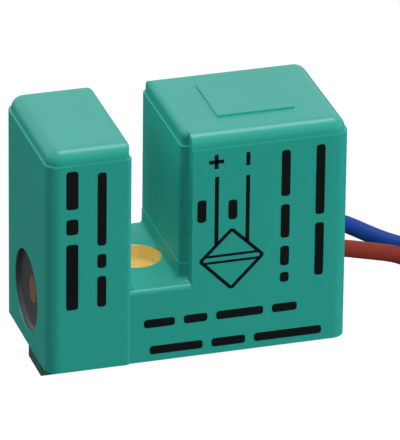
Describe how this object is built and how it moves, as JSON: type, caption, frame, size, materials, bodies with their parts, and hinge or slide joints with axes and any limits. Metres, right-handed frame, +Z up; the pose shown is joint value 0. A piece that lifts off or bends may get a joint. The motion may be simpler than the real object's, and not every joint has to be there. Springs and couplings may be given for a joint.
{
  "type": "fork sensor",
  "caption": "U-shaped inductive slot sensor with a thin arm, a thick block, a threaded insert in the slot floor and single flying leads wound into tied coils.",
  "frame": {"origin": "thread axis of the insert, in the bottom face", "axes": "+X from the slot towards the leads, +Y to the back, +Z up; -Z is the way the fixing screw leaves"},
  "size_m": [0.0467, 0.0174, 0.0166],
  "materials": {
    "housing_plastic": "moulded, fine satin",
    "cover_plastic": "moulded, matt",
    "brass": "turned",
    "casting_resin": "cast",
    "seal_resin": "cast, smooth",
    "disc_laminate": "sawn laminate",
    "copper": "bare copper",
    "ferrite": "sintered",
    "former_plastic": "moulded",
    "board_laminate": "solder resist",
    "chip_epoxy": "moulded epoxy",
    "tin": "tinned",
    "capacitor_yellow": "moulded epoxy",
    "capacitor_ceramic": "fired ceramic",
    "brown_insulation": "extruded",
    "blue_insulation": "extruded",
    "tie_plastic": "moulded"
  },
  "bodies": {
    "root": {"housing": "housing_plastic", "bottom_cover": "cover_plastic", "threaded_insert": "brass", "casting_resin": "casting_resin", "terminal_disc": "disc_laminate", "terminal_eyelet": "copper", "window_seal": "seal_resin", "arm_core": "ferrite", "arm_coil_former": "former_plastic", "arm_winding": "copper", "block_core": "ferrite", "block_coil_former": "former_plastic", "block_winding": "copper", "link_wires": "copper", "circuit_board": "board_laminate", "oscillator_chip": "chip_epoxy", "chip_legs": "tin", "output_transistor": "chip_epoxy", "supply_capacitor": "capacitor_yellow", "chip_capacitors": "capacitor_ceramic", "chip_resistors": "chip_epoxy", "solder_joints": "tin", "inner_conductors": "copper", "brown_inner_end": "brown_insulation", "blue_inner_end": "blue_insulation", "brown_lead": "brown_insulation", "brown_coil": "brown_insulation", "brown_tip": "tin", "blue_lead": "blue_insulation", "blue_coil": "blue_insulation", "blue_tip": "tin", "wire_tie": "tie_plastic"}
  },
  "joints": []
}
